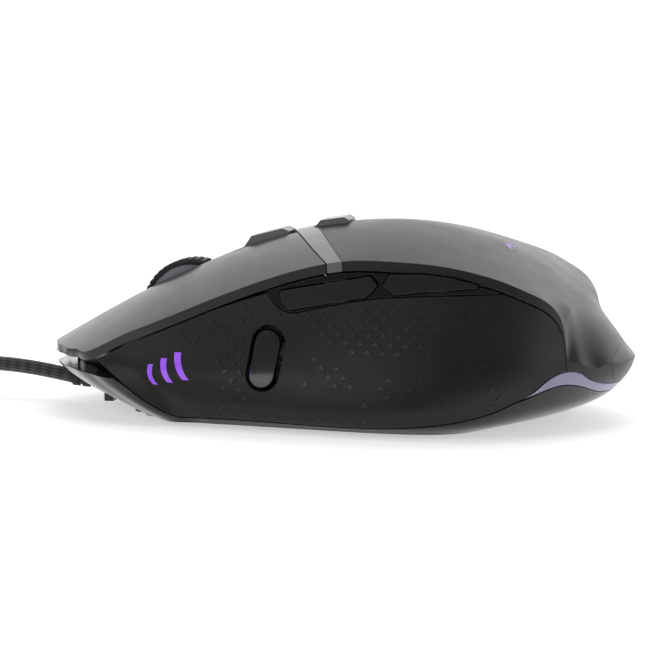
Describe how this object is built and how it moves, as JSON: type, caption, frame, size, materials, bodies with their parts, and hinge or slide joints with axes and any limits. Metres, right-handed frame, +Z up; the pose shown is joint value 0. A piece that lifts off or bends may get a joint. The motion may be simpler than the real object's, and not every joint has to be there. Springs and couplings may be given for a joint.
{
  "type": "computer mouse",
  "caption": "Right-handed corded gaming mouse with hinged main buttons, scroll wheel, side and thumb keys, sensitivity keys, light windows, braided cord and plug.",
  "frame": {"origin": "on the desk surface under the middle of the mouse body, cord not counted", "axes": "+Z up, nose and cord to -X, tail to +X, thumb side to -Y"},
  "size_m": [0.2166, 0.0729, 0.0427],
  "materials": {
    "button_grey": "satin",
    "palm_grey": "fine soft-touch",
    "gloss_black": "gloss",
    "grip_black": "soft, patterned",
    "key_black": "satin",
    "trim_grey": "satin",
    "light_strip": "frosted",
    "light_purple": "frosted, lit",
    "logo_light": "frosted",
    "base_black": "satin",
    "foot_ptfe": "slick",
    "board_green": "solder mask",
    "switch_black": "moulded",
    "steel": "plain",
    "chip_black": "moulded",
    "lens_clear": "clear",
    "inner_plastic": "moulded",
    "wheel_rubber": "ribbed",
    "wheel_hub": "frosted",
    "cord_braid": "braided sleeve",
    "relief_rubber": "moulded"
  },
  "bodies": {
    "casing": {"palm_cover": "palm_grey", "tail_cap": "palm_grey", "tail_tip": "palm_grey", "left_post": "inner_plastic", "right_post": "inner_plastic", "logo_window": "logo_light", "trim_belt": "trim_grey", "spine_cover": "gloss_black", "left_frame": "gloss_black", "right_frame": "gloss_black", "left_panel": "grip_black", "right_panel": "grip_black", "left_lights": "light_purple", "right_lights": "light_purple", "light_strip": "light_strip", "base_shell": "base_black", "front_foot": "foot_ptfe", "rear_foot": "foot_ptfe", "main_board": "board_green", "left_switch": "switch_black", "right_switch": "switch_black", "middle_switch": "switch_black", "side_board": "board_green", "dpi_board": "board_green", "dpi_front_switch": "steel", "dpi_rear_switch": "steel", "forward_switch": "steel", "back_switch": "steel", "thumb_switch": "steel", "hinge_bridge": "inner_plastic", "left_hinge_pin": "steel", "right_hinge_pin": "steel", "sensor": "chip_black", "sensor_lens": "lens_clear", "left_screw": "steel", "right_screw": "steel", "cord_relief": "relief_rubber", "cord_lead": "cord_braid", "cord_coil": "cord_braid", "cord_tail": "cord_braid", "plug_grip": "relief_rubber", "plug_shell": "steel", "plug_tongue": "chip_black"},
    "left_main": {"left_button": "button_grey"},
    "right_main": {"right_button": "button_grey"},
    "carrier": {"wheel_carrier": "inner_plastic", "encoder": "switch_black"},
    "wheel": {"wheel_tyre": "wheel_rubber", "wheel_hub": "wheel_hub"},
    "dpi_front": {"dpi_front_key": "trim_grey"},
    "dpi_rear": {"dpi_rear_key": "trim_grey"},
    "forward": {"forward_key": "key_black"},
    "back": {"back_key": "key_black"},
    "thumb": {"thumb_key": "key_black"}
  },
  "joints": [
    {"name": "left_click", "type": "hinge", "parent": "casing", "child": "left_main", "pos_m": [-0.009, 0, 0.0285], "axis": [0, -1, 0], "range_deg": [0, 0.6], "stiffness_Nm_per_rad": 2},
    {"name": "right_click", "type": "hinge", "parent": "casing", "child": "right_main", "pos_m": [-0.009, 0, 0.0285], "axis": [0, -1, 0], "range_deg": [0, 0.6], "stiffness_Nm_per_rad": 2},
    {"name": "wheel_press", "type": "slide", "parent": "casing", "child": "carrier", "axis": [0, 0, -1], "range_m": [0, 0.0006], "stiffness_N_per_m": 600},
    {"name": "wheel_turn", "type": "hinge", "parent": "carrier", "child": "wheel", "pos_m": [-0.0328, 0, 0.0209], "axis": [0, 1, 0], "continuous": true},
    {"name": "dpi_front_press", "type": "slide", "parent": "casing", "child": "dpi_front", "axis": [0, 0, -1], "range_m": [0, 0.0006], "stiffness_N_per_m": 300},
    {"name": "dpi_rear_press", "type": "slide", "parent": "casing", "child": "dpi_rear", "axis": [0, 0, -1], "range_m": [0, 0.0006], "stiffness_N_per_m": 300},
    {"name": "forward_press", "type": "slide", "parent": "casing", "child": "forward", "axis": [0, 1, 0], "range_m": [0, 0.0006], "stiffness_N_per_m": 300},
    {"name": "back_press", "type": "slide", "parent": "casing", "child": "back", "axis": [0, 1, 0], "range_m": [0, 0.0006], "stiffness_N_per_m": 300},
    {"name": "thumb_press", "type": "slide", "parent": "casing", "child": "thumb", "axis": [0, 1, 0], "range_m": [0, 0.0006], "stiffness_N_per_m": 300}
  ]
}
